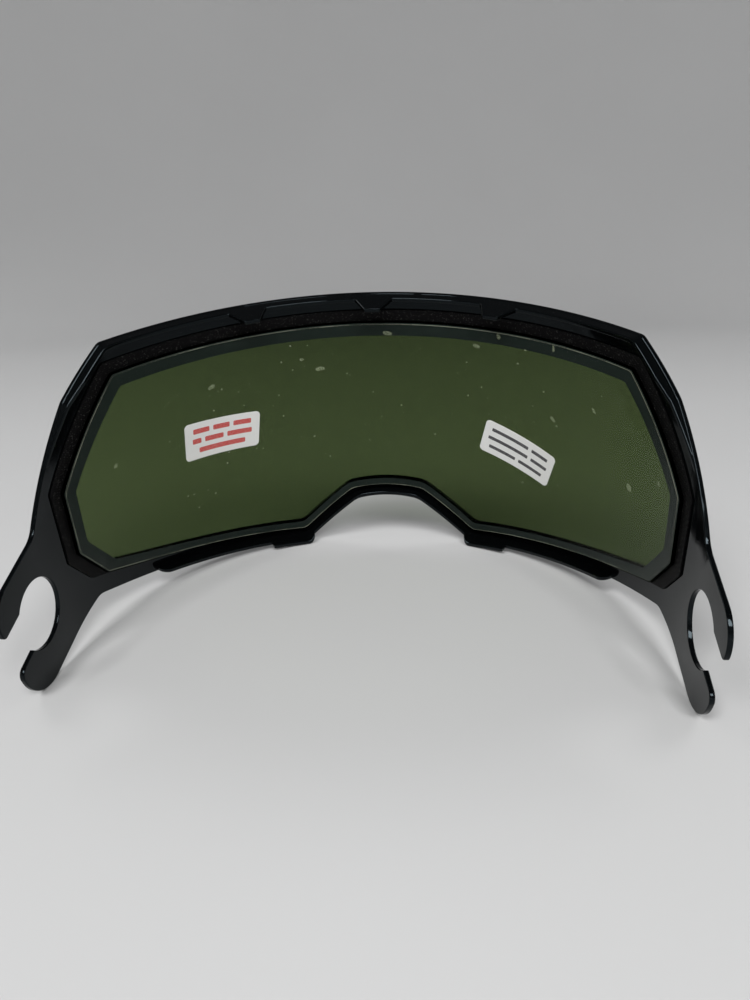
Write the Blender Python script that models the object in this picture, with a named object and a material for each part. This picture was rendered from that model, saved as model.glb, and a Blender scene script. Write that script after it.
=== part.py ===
"""Clip-on tinted face shield.

Every piece is drawn flat, as a sheet is before it is bent: x runs along the sheet from its
middle, y runs up the sheet from the level of the hook bores, and z runs towards the wearer from
the frame's inner face. The flat pieces are then bent round one upright axis, and the whole
shield is tilted until it stands on its lower prongs and its nose blocks.
"""

import math

import bmesh
import bpy
import numpy as np
from mathutils import Vector

MM = 0.001

# Bend of the sheet, measured at the frame's inner face
BEND_RADIUS = 100.0 * MM
BEND_ANGLE = math.radians(90.0)

# Window corners: half-widths from the middle, heights from the level of the hook bores. The
# corners at the side follow the brow, so a wider brow carries the arms out with it.
BROW_HALF = 99.5 * MM
BROW_HEIGHT = 41.5 * MM
TEMPLE_RUN = 31.7 * MM
TEMPLE_HALF = BROW_HALF + TEMPLE_RUN
TEMPLE_HEIGHT = 19.4 * MM
CHEEK_RUN = 4.3 * MM
CHEEK_HALF = TEMPLE_HALF + CHEEK_RUN
CHEEK_HEIGHT = 0.3 * MM
JAW_RETURN = 8.6 * MM
JAW_HALF = CHEEK_HALF - JAW_RETURN
JAW_DROP = 18.7 * MM
NOSE_FOOT_HALF = 40.1 * MM
NOSE_FOOT_DROP = 60.4 * MM
NOSE_TOP_HALF = 17.0 * MM
NOSE_TOP_DROP = 41.9 * MM
BROW_SAG = 9.3 * MM
JAW_BULGE = 5.2 * MM
NOSE_ARCH = 1.5 * MM
WINDOW_FILLET = 2.0 * MM
NOSE_FOOT_FILLET = 4.0 * MM
NOSE_TOP_FILLET = 8.0 * MM

# Frame moulding round the window
FRAME_WALL = 1.6 * MM
BROW_BORDER = 16.5 * MM
BROW_OUT = 1.0 * MM
BROW_FILLET = 3.5 * MM
TEMPLE_OUT = 20.9 * MM
TEMPLE_UP = 6.2 * MM
TEMPLE_FILLET = 6.0 * MM
LOWER_BORDER = 8.0 * MM

# Arms and their snap hooks, measured from the bore's centre
ARM_REACH = 31.9 * MM
ARM_ABOVE = 20.3 * MM
ARM_BELOW = 25.0 * MM
ARM_ROOT_OUT = 23.2 * MM
ARM_ROOT_FILLET = 8.0 * MM
ARM_PIT_OUT = 12.1 * MM
ARM_PIT_FILLET = 9.0 * MM
BORE_RADIUS = 11.5 * MM
THROAT_ABOVE = 8.8 * MM
THROAT_BELOW = 5.6 * MM
UPPER_PRONG = 17.2 * MM
UPPER_PRONG_FILLET = 12.0 * MM
UPPER_TIP_FILLET = 1.8 * MM
LOWER_PRONG = 19.4 * MM
LOWER_PRONG_RISE = 2.2 * MM
LOWER_PRONG_FILLET = 13.5 * MM
LOWER_TIP_FILLET = 3.0 * MM

# Rims that stand off the frame towards the wearer. The brow rim runs on past the brow's corner and
# tapers away down the temple.
RIM_STEP = 0.15 * MM
BROW_RIM_DEPTH = 3.1 * MM
BROW_RIM_THICKNESS = 1.6 * MM
BROW_RIM_RUN = 42.0 * MM
BROW_RIM_TAPER = 30.0 * MM
TAB_COUNT = 3
TAB_PITCH = 47.2 * MM
TAB_ROOT_WIDTH = 13.7 * MM
TAB_TIP_WIDTH = 6.2 * MM
TAB_LENGTH = 7.4 * MM
TAB_FILLET = 0.8 * MM
LEDGE_THICKNESS = 2.0 * MM
NOSE_RIM_DEPTH = 3.5 * MM
BLOCK_INSET = 2.5 * MM
BLOCK_LENGTH = 21.3 * MM
BLOCK_DEPTH = 7.2 * MM
BLOCK_FILLET = 3.4 * MM
STRIP_LENGTH = 53.0 * MM
STRIP_DEPTH = 4.5 * MM
STRIP_FILLET = 3.5 * MM

# Adhesive tape, lens and protective film, each a small gap further in than the one before
LAYER_GAP = 0.1 * MM
UPPER_LAP = 6.0 * MM
LOWER_LAP = 3.0 * MM
TAPE_THICKNESS = 0.5 * MM
TAPE_SHOW = 4.2 * MM
TAPE_SET_BACK = 0.5 * MM
LENS_THICKNESS = 1.2 * MM
FILM_THICKNESS = 0.15 * MM
FILM_MARGIN = 0.7 * MM

# Stickers on the film, measured from the window's middle at the level of the bores
LABEL_WIDTH = 32.0 * MM
LABEL_HEIGHT = 16.2 * MM
LABEL_FILLET = 1.8 * MM
LABEL_THICKNESS = 0.15 * MM
LEFT_LABEL_OUT = 67.3 * MM
LEFT_LABEL_HEIGHT = 2.4 * MM
LEFT_LABEL_TURN = math.radians(-12.4)
RIGHT_LABEL_OUT = 58.9 * MM
RIGHT_LABEL_DROP = 10.1 * MM
RIGHT_LABEL_TURN = math.radians(-10.5)

# Fineness of the drawn curves
BEND_COLUMNS = 30
COLUMN_MARGIN = 1.0 * MM
FILLET_STEP = math.radians(15.0)
BORE_SIDES = 48
CUTTER_PAST = 2.0 * MM
WELD = 0.01 * MM
FLAT_ANGLE = math.radians(0.1)
SMOOTH_ANGLE = math.radians(20.0)
LEVELLING_PASSES = 8

# Place of the nose foot in the window's outline, counted from the brow
NOSE_FOOT_INDEX = 4


def clear_scene():
    for obj in list(bpy.data.objects):
        bpy.data.objects.remove(obj, do_unlink=True)


def new_collection(name):
    collection = bpy.data.collections.new(name)
    bpy.context.scene.collection.children.link(collection)
    return collection


def finish(name, colour, roughness, alpha=1.0):
    """A plain Principled material for one piece."""
    material = bpy.data.materials.new(name)
    material.use_nodes = True
    shader = material.node_tree.nodes["Principled BSDF"]
    shader.inputs["Base Color"].default_value = (*colour, 1.0)
    shader.inputs["Roughness"].default_value = roughness
    shader.inputs["Metallic"].default_value = 0.0
    shader.inputs["Alpha"].default_value = alpha
    return material


# An outline is a list of corners (x, y, fillet, rise), where rise is how far the edge to the next
# corner bows outwards. Outlines run clockwise, so outwards is to the left of travel.
def mirrored_loop(half, closing_rise):
    """A whole outline from its right half, listed from the top down."""
    loop = list(half)
    for index in reversed(range(len(half))):
        x, y, fillet, _ = half[index]
        rise = half[index - 1][3] if index else closing_rise
        loop.append((-x, y, fillet, rise))
    return loop


def outward(start, end):
    """Unit normal to the left of the line from one corner to the next."""
    run = Vector((end[0] - start[0], end[1] - start[1])).normalized()
    return Vector((-run.y, run.x))


def grown(loop, laps):
    """The same outline with each edge moved outwards by its own lap."""
    moved = []
    for index, (x, y, fillet, rise) in enumerate(loop):
        before = outward(loop[index - 1], loop[index])
        after = outward(loop[index], loop[(index + 1) % len(loop)])
        spread = before.x * after.y - before.y * after.x
        dx = (laps[index - 1] * after.y - laps[index] * before.y) / spread
        dy = (laps[index] * before.x - laps[index - 1] * after.x) / spread
        moved.append((x + dx, y + dy, fillet, rise))
    return moved


def column_width():
    """Length of sheet between two neighbouring bend columns."""
    return BEND_RADIUS * BEND_ANGLE / BEND_COLUMNS


def arc_points(start, end, rise):
    """Points where the bend columns cross a circle that bows out between two corners."""
    if not rise:
        return []
    chord = Vector((end[0] - start[0], end[1] - start[1]))
    half = chord.length / 2.0
    radius = (half * half + rise * rise) / (2.0 * abs(rise))
    side = math.copysign(1.0, rise)
    middle = Vector(start[:2]) + chord / 2.0
    centre = middle - outward(start, end) * side * (radius - abs(rise))
    above = math.copysign(1.0, middle.y - centre.y)
    width = column_width()
    low, high = sorted((start[0], end[0]))
    first = math.ceil((low + COLUMN_MARGIN) / width)
    last = math.floor((high - COLUMN_MARGIN) / width)
    points = []
    for column in range(first, last + 1):
        x = column * width
        drop = math.sqrt(radius * radius - (x - centre.x) ** 2)
        points.append(Vector((x, centre.y + above * drop)))
    return points if end[0] > start[0] else points[::-1]


def corner_angle(before, corner, after):
    return (before - corner).angle(after - corner)


def fillet_points(before, corner, after, radius):
    """The corner replaced by an arc that touches the edges on both sides."""
    back = (before - corner).normalized()
    ahead = (after - corner).normalized()
    angle = corner_angle(before, corner, after)
    centre = corner + (back + ahead).normalized() * (radius / math.sin(angle / 2.0))
    spoke = corner + back * (radius / math.tan(angle / 2.0)) - centre
    sweep = math.copysign(math.pi - angle, back.y * ahead.x - back.x * ahead.y)
    count = max(2, math.ceil(abs(sweep) / FILLET_STEP))
    points = []
    for step in range(count + 1):
        turn = sweep * step / count
        x = spoke.x * math.cos(turn) - spoke.y * math.sin(turn)
        y = spoke.x * math.sin(turn) + spoke.y * math.cos(turn)
        points.append(centre + Vector((x, y)))
    return points


def limited_fillets(points, fillets):
    """Fillets that share each edge between its two corners where they would meet."""
    count = len(points)
    slopes = []
    for index, point in enumerate(points):
        angle = corner_angle(points[index - 1], point, points[(index + 1) % count])
        slopes.append(math.tan(angle / 2.0))
    setbacks = [fillet / slope for fillet, slope in zip(fillets, slopes)]
    limited = []
    for index, point in enumerate(points):
        fillet = fillets[index]
        for other in (index - 1, (index + 1) % count):
            taken = setbacks[index] + setbacks[other]
            room = (points[other] - point).length
            if taken > room:
                fillet = min(fillet, fillets[index] * room / taken)
        limited.append(fillet)
    return limited


def traced(loop):
    """Every point of an outline, with its arcs and its filleted corners."""
    points = []
    fillets = []
    for index, corner in enumerate(loop):
        arc = arc_points(corner, loop[(index + 1) % len(loop)], corner[3])
        points.extend([Vector(corner[:2])] + arc)
        fillets.extend([corner[2]] + [0.0] * len(arc))
    outline = []
    for index, fillet in enumerate(limited_fillets(points, fillets)):
        point = points[index]
        if fillet > 0.0:
            after = points[(index + 1) % len(points)]
            outline.extend(fillet_points(points[index - 1], point, after, fillet))
        else:
            outline.append(point)
    return outline


def window_loop():
    half = [
        (BROW_HALF, BROW_HEIGHT, WINDOW_FILLET, 0.0),
        (TEMPLE_HALF, TEMPLE_HEIGHT, WINDOW_FILLET, 0.0),
        (CHEEK_HALF, CHEEK_HEIGHT, WINDOW_FILLET, 0.0),
        (JAW_HALF, -JAW_DROP, WINDOW_FILLET, JAW_BULGE),
        (NOSE_FOOT_HALF, -NOSE_FOOT_DROP, NOSE_FOOT_FILLET, 0.0),
        (NOSE_TOP_HALF, -NOSE_TOP_DROP, NOSE_TOP_FILLET, -NOSE_ARCH),
    ]
    return mirrored_loop(half, -BROW_SAG)


def window_grown(upper, lower):
    """The window's outline moved outwards, by one lap at brow and sides and one along the bottom."""
    half = [upper, upper, upper, lower, lower]
    return grown(window_loop(), half + [lower] + half[::-1] + [upper])


def nose_corners():
    """The frame's nose foot and nose top on the right, a border's width below the window's."""
    bordered = window_grown(BROW_BORDER, LOWER_BORDER)
    return bordered[NOSE_FOOT_INDEX : NOSE_FOOT_INDEX + 2]


def bore_reach():
    """How far along the sheet a hook's bore lies from the middle."""
    return CHEEK_HALF + ARM_REACH


def frame_loop():
    """The moulding's outline: brow, temple, arm, snap hook, arm pit and the lower edge."""
    bore = bore_reach()
    lower_edge = -ARM_BELOW + LOWER_PRONG_RISE
    half = [
        (BROW_HALF + BROW_OUT, BROW_HEIGHT + BROW_BORDER, BROW_FILLET, 0.0),
        (BROW_HALF + TEMPLE_OUT, BROW_HEIGHT + TEMPLE_UP, TEMPLE_FILLET, 0.0),
        (TEMPLE_HALF + ARM_ROOT_OUT, ARM_ABOVE, ARM_ROOT_FILLET, 0.0),
        (bore + UPPER_PRONG, ARM_ABOVE, UPPER_PRONG_FILLET, 0.0),
        (bore + UPPER_PRONG, THROAT_ABOVE, UPPER_TIP_FILLET, 0.0),
        (bore, THROAT_ABOVE, 0.0, 0.0),
        (bore, -THROAT_BELOW, 0.0, 0.0),
        (bore + LOWER_PRONG, -THROAT_BELOW, LOWER_TIP_FILLET, 0.0),
        (bore + LOWER_PRONG, lower_edge, LOWER_PRONG_FILLET, 0.0),
        (JAW_HALF + ARM_PIT_OUT, -ARM_BELOW, ARM_PIT_FILLET, JAW_BULGE),
        *nose_corners(),
    ]
    return mirrored_loop(half, -BROW_SAG)


def label_loop(out, height, turn):
    """A rounded rectangle, turned about its middle."""
    half_width = LABEL_WIDTH / 2.0
    half_height = LABEL_HEIGHT / 2.0
    corners = ((1, 1), (1, -1), (-1, -1), (-1, 1))
    loop = []
    for across, up in corners:
        x = across * half_width * math.cos(turn) - up * half_height * math.sin(turn)
        y = across * half_width * math.sin(turn) + up * half_height * math.cos(turn)
        loop.append((out + x, height + y, LABEL_FILLET, 0.0))
    return loop


def brow_rim_plan():
    """The brow rim and its tabs seen from above: along the sheet, then towards the wearer."""
    end = BROW_HALF + BROW_OUT + BROW_RIM_RUN
    root = -FRAME_WALL / 2.0
    tip = BROW_RIM_DEPTH + TAB_LENGTH
    loop = [
        (end, root, 0.0, 0.0),
        (-end, root, 0.0, 0.0),
        (-end + BROW_RIM_TAPER, BROW_RIM_DEPTH, 0.0, 0.0),
    ]
    for index in range(TAB_COUNT):
        middle = (index - (TAB_COUNT - 1) / 2.0) * TAB_PITCH
        loop.append((middle - TAB_ROOT_WIDTH / 2.0, BROW_RIM_DEPTH, TAB_FILLET, 0.0))
        loop.append((middle - TAB_TIP_WIDTH / 2.0, tip, TAB_FILLET, 0.0))
        loop.append((middle + TAB_TIP_WIDTH / 2.0, tip, TAB_FILLET, 0.0))
        loop.append((middle + TAB_ROOT_WIDTH / 2.0, BROW_RIM_DEPTH, TAB_FILLET, 0.0))
    loop.append((end - BROW_RIM_TAPER, BROW_RIM_DEPTH, 0.0, 0.0))
    return loop


def ledge_plan():
    """The lower ledge seen from above: nose rim, a block at each nose foot, and a strip beyond."""
    nose_foot, _ = nose_corners()
    block_start = nose_foot[0] - BLOCK_INSET
    block_end = block_start + BLOCK_LENGTH
    strip_end = block_end + STRIP_LENGTH
    half = [
        (block_start, NOSE_RIM_DEPTH, 0.0, 0.0),
        (block_start, BLOCK_DEPTH, BLOCK_FILLET, 0.0),
        (block_end, BLOCK_DEPTH, 0.0, 0.0),
        (block_end, STRIP_DEPTH, 0.0, 0.0),
        (strip_end, STRIP_DEPTH, STRIP_FILLET, 0.0),
        (strip_end, -FRAME_WALL / 2.0, 0.0, 0.0),
    ]
    return mirrored_loop(half, 0.0)


# Solids on the flat sheet
def plate(name, loops, low, high):
    """A flat piece between two depths: the first outline, less the outlines inside it."""
    curve = bpy.data.curves.new(name, "CURVE")
    curve.dimensions = "2D"
    curve.fill_mode = "BOTH"
    curve.extrude = (high - low) / 2.0
    for loop in loops:
        outline = traced(loop)
        spline = curve.splines.new("POLY")
        spline.points.add(len(outline) - 1)
        for point, place in zip(spline.points, outline):
            point.co = (place.x, place.y, 0.0, 1.0)
        spline.use_cyclic_u = True
    source = bpy.data.objects.new(name, curve)
    PARTS.objects.link(source)
    obj = as_mesh_object(source)
    weld(obj.data)
    for vertex in obj.data.vertices:
        vertex.co.z += (low + high) / 2.0
    return obj


def as_mesh_object(source):
    """The evaluated shape as a mesh object, in place of its source."""
    depsgraph = bpy.context.evaluated_depsgraph_get()
    mesh = bpy.data.meshes.new_from_object(source.evaluated_get(depsgraph))
    name = source.name
    bpy.data.objects.remove(source, do_unlink=True)
    obj = bpy.data.objects.new(name, mesh)
    PARTS.objects.link(obj)
    return obj


def weld(mesh):
    """Joins points that all but coincide, such as those of a filled curve's loose caps."""
    shape = bmesh.new()
    shape.from_mesh(mesh)
    bmesh.ops.remove_doubles(shape, verts=shape.verts[:], dist=WELD)
    shape.to_mesh(mesh)
    shape.free()


def combine(obj, other, operation):
    """Boolean of two solids; the second is used up."""
    modifier = obj.modifiers.new(operation, "BOOLEAN")
    modifier.operation = operation
    modifier.object = other
    result = as_mesh_object(obj)
    bpy.data.objects.remove(other, do_unlink=True)
    return result


def bore_cutter(reach):
    """A cylinder right through the wall at a hook's bore."""
    shape = bmesh.new()
    bmesh.ops.create_cone(
        shape,
        cap_ends=True,
        segments=BORE_SIDES,
        radius1=BORE_RADIUS,
        radius2=BORE_RADIUS,
        depth=2.0 * (FRAME_WALL + CUTTER_PAST),
    )
    mesh = bpy.data.meshes.new("bore_cutter")
    shape.to_mesh(mesh)
    shape.free()
    cutter = bpy.data.objects.new("bore_cutter", mesh)
    cutter.location = (reach, 0.0, 0.0)
    PARTS.objects.link(cutter)
    return cutter


def cut_across(mesh, places):
    """Cuts a flat piece at places along the sheet, and merges the flat triangles between cuts."""
    shape = bmesh.new()
    shape.from_mesh(mesh)
    bmesh.ops.triangulate(shape, faces=shape.faces[:])
    for edge in shape.edges:
        edge.seam = False
    for place in places:
        geometry = shape.verts[:] + shape.edges[:] + shape.faces[:]
        cut = bmesh.ops.bisect_plane(
            shape, geom=geometry, dist=WELD, plane_co=(place, 0.0, 0.0), plane_no=(1.0, 0.0, 0.0)
        )
        for element in cut["geom_cut"]:
            if isinstance(element, bmesh.types.BMEdge):
                element.seam = True
    bmesh.ops.dissolve_limit(
        shape, angle_limit=FLAT_ANGLE, verts=shape.verts[:], edges=shape.edges[:], delimit={"SEAM"}
    )
    shape.to_mesh(mesh)
    shape.free()


def frame_edge(reach, upper):
    """The frame's upper or lower edge, to a reach on both sides: a row of x and a row of y."""
    edge = []
    for point in traced(frame_loop()):
        if abs(point.x) <= reach and (point.y > 0.0) == upper:
            edge.append((point.x, point.y))
    return np.array(sorted(edge)).T


def shelf(name, plan, edge, side, thickness):
    """A slab drawn in plan and laid along an edge, on its upper (1) or lower (-1) side."""
    obj = plate(name, [plan], 0.0, thickness)
    cut_across(obj.data, edge[0])
    for vertex in obj.data.vertices:
        x, depth, rise = vertex.co
        base = float(np.interp(x, *edge))
        vertex.co = (x, base + side * (RIM_STEP + rise), depth)
    if side > 0.0:
        obj.data.flip_normals()
    return obj


# Bending and standing
def bent(point):
    """A flat point carried round the bend: chords between columns, then a straight arm."""
    x, y, z = point
    along = min(abs(x), BEND_RADIUS * BEND_ANGLE)
    position = along / column_width()
    column = min(int(position), BEND_COLUMNS - 1)
    share = position - column
    start = BEND_ANGLE * column / BEND_COLUMNS
    end = BEND_ANGLE * (column + 1) / BEND_COLUMNS
    radius = BEND_RADIUS - z
    across = radius * ((1.0 - share) * math.sin(start) + share * math.sin(end))
    ahead = radius * ((1.0 - share) * math.cos(start) + share * math.cos(end))
    arm = abs(x) - along
    across += arm * math.cos(BEND_ANGLE)
    ahead -= arm * math.sin(BEND_ANGLE)
    return Vector((math.copysign(across, x), ahead, y))


def bend(obj, material):
    """Bends a flat piece and gives it its finish."""
    columns = range(-BEND_COLUMNS, BEND_COLUMNS + 1)
    cut_across(obj.data, [column * column_width() for column in columns])
    weld(obj.data)
    shape = bmesh.new()
    shape.from_mesh(obj.data)
    bmesh.ops.triangulate(shape, faces=shape.faces[:])
    for vertex in shape.verts:
        vertex.co = bent(vertex.co)
    shape.to_mesh(obj.data)
    shape.free()
    obj.data.shade_smooth()
    obj.data.set_sharp_from_angle(angle=SMOOTH_ANGLE)
    obj.data.materials.clear()
    obj.data.materials.append(material)


def tilted(points, tilt):
    """Points turned about the x axis, top towards the wearer."""
    turned = points.copy()
    turned[:, 1] = points[:, 1] * math.cos(tilt) - points[:, 2] * math.sin(tilt)
    turned[:, 2] = points[:, 1] * math.sin(tilt) + points[:, 2] * math.cos(tilt)
    return turned


def resting_tilt(points):
    """The tilt that brings the lower prongs and the nose blocks to one level."""
    front = points[:, 1] > 0.0
    tilt = 0.0
    for _ in range(LEVELLING_PASSES):
        turned = tilted(points, tilt)
        ahead = turned[front]
        behind = turned[~front]
        ahead = ahead[ahead[:, 2].argmin()]
        behind = behind[behind[:, 2].argmin()]
        tilt += math.atan2(behind[2] - ahead[2], ahead[1] - behind[1])
    return tilt


def stand(objects):
    """Parents the pieces to an empty that tilts them and lifts them onto the ground."""
    places = []
    for obj in objects:
        places.extend(tuple(vertex.co) for vertex in obj.data.vertices)
    points = np.array(places)
    tilt = resting_tilt(points)
    turned = tilted(points, tilt)
    low = turned.min(axis=0)
    high = turned.max(axis=0)
    stance = bpy.data.objects.new("stance", None)
    stance.rotation_euler = (tilt, 0.0, 0.0)
    stance.location = (-(low[0] + high[0]) / 2.0, -(low[1] + high[1]) / 2.0, -low[2])
    PARTS.objects.link(stance)
    for obj in objects:
        obj.parent = stance


def build_frame():
    """One moulding: the wall with its window and bores, the brow rim with its tabs, the ledge."""
    frame = plate("frame", [frame_loop(), window_loop()], -FRAME_WALL, 0.0)
    for reach in (bore_reach(), -bore_reach()):
        frame = combine(frame, bore_cutter(reach), "DIFFERENCE")
    brow_edge = frame_edge(TEMPLE_HALF + ARM_ROOT_OUT, True)
    rim = shelf("brow_rim", brow_rim_plan(), brow_edge, -1.0, BROW_RIM_THICKNESS)
    frame = combine(frame, rim, "UNION")
    lower_edge = frame_edge(JAW_HALF + ARM_PIT_OUT, False)
    ledge = shelf("ledge", ledge_plan(), lower_edge, 1.0, LEDGE_THICKNESS)
    return combine(frame, ledge, "UNION")


def main():
    tape_low = LAYER_GAP
    lens_low = tape_low + TAPE_THICKNESS + LAYER_GAP
    film_low = lens_low + LENS_THICKNESS + LAYER_GAP
    label_low = film_low + FILM_THICKNESS + LAYER_GAP

    frame = build_frame()
    tape_outline = window_grown(UPPER_LAP + TAPE_SHOW, LOWER_LAP - TAPE_SET_BACK)
    tape_window = window_grown(TAPE_SET_BACK, TAPE_SET_BACK)
    tape = plate("lens_tape", [tape_outline, tape_window], tape_low, tape_low + TAPE_THICKNESS)
    lens = plate("lens", [window_grown(UPPER_LAP, LOWER_LAP)], lens_low, lens_low + LENS_THICKNESS)
    film_outline = window_grown(UPPER_LAP - FILM_MARGIN, LOWER_LAP - FILM_MARGIN)
    film = plate("film", [film_outline], film_low, film_low + FILM_THICKNESS)
    left_loop = label_loop(-LEFT_LABEL_OUT, LEFT_LABEL_HEIGHT, LEFT_LABEL_TURN)
    left = plate("label_left", [left_loop], label_low, label_low + LABEL_THICKNESS)
    right_loop = label_loop(RIGHT_LABEL_OUT, -RIGHT_LABEL_DROP, RIGHT_LABEL_TURN)
    right = plate("label_right", [right_loop], label_low, label_low + LABEL_THICKNESS)

    bend(frame, finish("gloss_black", (0.012, 0.012, 0.013), 0.16))
    bend(tape, finish("tape_black", (0.02, 0.02, 0.021), 0.75))
    bend(lens, finish("lens_green", (0.07, 0.09, 0.035), 0.05, 0.75))
    bend(film, finish("film_clear", (0.85, 0.9, 0.85), 0.1, 0.12))
    bend(left, finish("label_left_white", (0.82, 0.82, 0.8), 0.45))
    bend(right, finish("label_right_white", (0.82, 0.82, 0.8), 0.45))
    stand([frame, tape, lens, film, left, right])


clear_scene()
PARTS = new_collection("face_shield")
main()
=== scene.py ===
# %% [markdown]
# # A clip-on tinted face shield
# The object is one black moulding with a window, a green lens taped behind the window, a clear
# film on the lens and two stickers on the film. The wearer's side faces the camera. The packed
# model comes in first as a fixed frame. It gives the size, and each main piece made below takes
# the place of one of its nodes, while the smaller pieces ride along with them.

# %% The imported model
import math

import bmesh
import bpy
import numpy as np
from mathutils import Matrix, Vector


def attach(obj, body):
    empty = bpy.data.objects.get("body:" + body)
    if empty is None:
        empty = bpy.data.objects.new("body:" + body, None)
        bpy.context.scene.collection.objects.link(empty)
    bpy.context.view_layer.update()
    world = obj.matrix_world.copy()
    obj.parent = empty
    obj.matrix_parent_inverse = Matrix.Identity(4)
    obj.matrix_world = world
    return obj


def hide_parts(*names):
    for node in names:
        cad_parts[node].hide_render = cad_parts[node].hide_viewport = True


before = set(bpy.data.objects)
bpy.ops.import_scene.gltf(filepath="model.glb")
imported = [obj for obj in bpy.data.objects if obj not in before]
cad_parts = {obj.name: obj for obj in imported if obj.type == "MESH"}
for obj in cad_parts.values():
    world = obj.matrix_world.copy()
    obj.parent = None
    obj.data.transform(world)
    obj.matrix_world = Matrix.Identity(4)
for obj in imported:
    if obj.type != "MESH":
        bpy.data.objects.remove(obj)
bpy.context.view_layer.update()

# %% [markdown]
# ## The flat sheet
# The real shield is wrapped round one upright axis, so all of it unrolls onto a flat sheet. Each
# piece is drawn there: x runs along the sheet, y runs up it, and z runs towards the wearer. The
# pieces could be modelled in their bent shape, but straight edges, fillets and stickers are much
# easier to draw flat, and a single rule then bends them all alike.

# %% Sizes of the bend, the window and the moulding
MM = 0.001

BEND_RADIUS = 100.0 * MM
BEND_ANGLE = math.radians(90.0)
BEND_REACH = BEND_RADIUS * BEND_ANGLE
LEAN = math.radians(23.7643)
STANCE = (0.0, -41.954 * MM, 29.095 * MM)

BROW_HALF, BROW_HEIGHT = 99.5 * MM, 41.5 * MM
TEMPLE_HALF, TEMPLE_HEIGHT = 131.2 * MM, 19.4 * MM
CHEEK_HALF, CHEEK_HEIGHT = 135.5 * MM, 0.3 * MM
JAW_HALF, JAW_DROP = 126.9 * MM, 18.7 * MM
NOSE_FOOT_HALF, NOSE_FOOT_DROP = 40.1 * MM, 60.4 * MM
NOSE_TOP_HALF, NOSE_TOP_DROP = 17.0 * MM, 41.9 * MM
BROW_SAG, JAW_BULGE, NOSE_ARCH = 9.3 * MM, 5.2 * MM, 1.5 * MM
WINDOW_FILLET, NOSE_FOOT_FILLET, NOSE_TOP_FILLET = 2.0 * MM, 4.0 * MM, 8.0 * MM

FRAME_WALL = 1.6 * MM
BROW_BORDER, BROW_OUT, BROW_FILLET = 16.5 * MM, 1.0 * MM, 3.5 * MM
TEMPLE_OUT, TEMPLE_UP, TEMPLE_FILLET = 20.9 * MM, 6.2 * MM, 6.0 * MM
LOWER_BORDER = 8.0 * MM
print("sheet runs", round(2.0 * BEND_REACH / MM, 1), "mm round the bend")

# %% [markdown]
# ## Drawing outlines
# An outline is a short list of corners. Each corner has its place, the radius of its fillet and
# how far the edge that follows it bows outwards. The points of the fillets and bows are worked
# out finely here. A Bezier curve with hand-set handles would look the same, but a corner with a
# radius is how such a part is dimensioned.

# %% From corners to points
FILLET_STEP = math.radians(6.0)
BOW_STEP = 1.5 * MM
BOW_CLEAR = 1.2


def mirrored(half, closing_bow):
    """A whole outline from its right half, listed from the top down."""
    loop = list(half)
    for index in reversed(range(len(half))):
        x, y, fillet, _ = half[index]
        bow = half[index - 1][3] if index else closing_bow
        loop.append((-x, y, fillet, bow))
    return loop


def outward(start, end):
    """Unit normal to the left of travel, which is outwards because outlines run clockwise."""
    run = Vector((end[0] - start[0], end[1] - start[1])).normalized()
    return Vector((-run.y, run.x))


def grown(loop, laps):
    """The same outline with each edge moved outwards by its own lap."""
    moved = []
    for index, (x, y, fillet, bow) in enumerate(loop):
        before = outward(loop[index - 1], loop[index])
        after = outward(loop[index], loop[(index + 1) % len(loop)])
        spread = before.x * after.y - before.y * after.x
        dx = (laps[index - 1] * after.y - laps[index] * before.y) / spread
        dy = (laps[index] * before.x - laps[index - 1] * after.x) / spread
        moved.append((x + dx, y + dy, fillet, bow))
    return moved


def set_back(loop, index):
    """How far along its edges a corner's fillet reaches."""
    corner = Vector(loop[index][:2])
    back = Vector(loop[index - 1][:2]) - corner
    ahead = Vector(loop[(index + 1) % len(loop)][:2]) - corner
    return loop[index][2] / math.tan(back.angle(ahead) / 2.0)


def bowed(loop, index):
    """Points of the bowed edge after a corner, clear of the fillets at its two ends."""
    following = (index + 1) % len(loop)
    start, end, bow = loop[index], loop[following], loop[index][3]
    if not bow:
        return []
    chord = Vector((end[0] - start[0], end[1] - start[1]))
    half = chord.length / 2.0
    radius = (half * half + bow * bow) / (2.0 * abs(bow))
    away = outward(start, end) * math.copysign(1.0, bow)
    centre = Vector(start[:2]) + chord / 2.0 - away * (radius - abs(bow))
    low = BOW_CLEAR * set_back(loop, index) / (2.0 * half)
    high = 1.0 - BOW_CLEAR * set_back(loop, following) / (2.0 * half)
    count = math.ceil((high - low) * 2.0 * half / BOW_STEP)
    points = []
    for step in range(count + 1):
        share = low + (high - low) * step / count
        if 0.0 < share < 1.0:
            along = (share - 0.5) * 2.0 * half
            height = math.sqrt(radius * radius - along * along)
            points.append(centre + away * height + chord.normalized() * along)
    return points


def filleted(before, corner, after, radius):
    """The corner replaced by an arc that touches the edges on both sides."""
    back = (before - corner).normalized()
    ahead = (after - corner).normalized()
    angle = back.angle(ahead)
    centre = corner + (back + ahead).normalized() * (radius / math.sin(angle / 2.0))
    spoke = corner + back * (radius / math.tan(angle / 2.0)) - centre
    sweep = math.copysign(math.pi - angle, back.y * ahead.x - back.x * ahead.y)
    count = max(2, math.ceil(abs(sweep) / FILLET_STEP))
    turns = [sweep * step / count for step in range(count + 1)]
    return [
        centre
        + Vector(
            (
                spoke.x * math.cos(turn) - spoke.y * math.sin(turn),
                spoke.x * math.sin(turn) + spoke.y * math.cos(turn),
            )
        )
        for turn in turns
    ]


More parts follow.
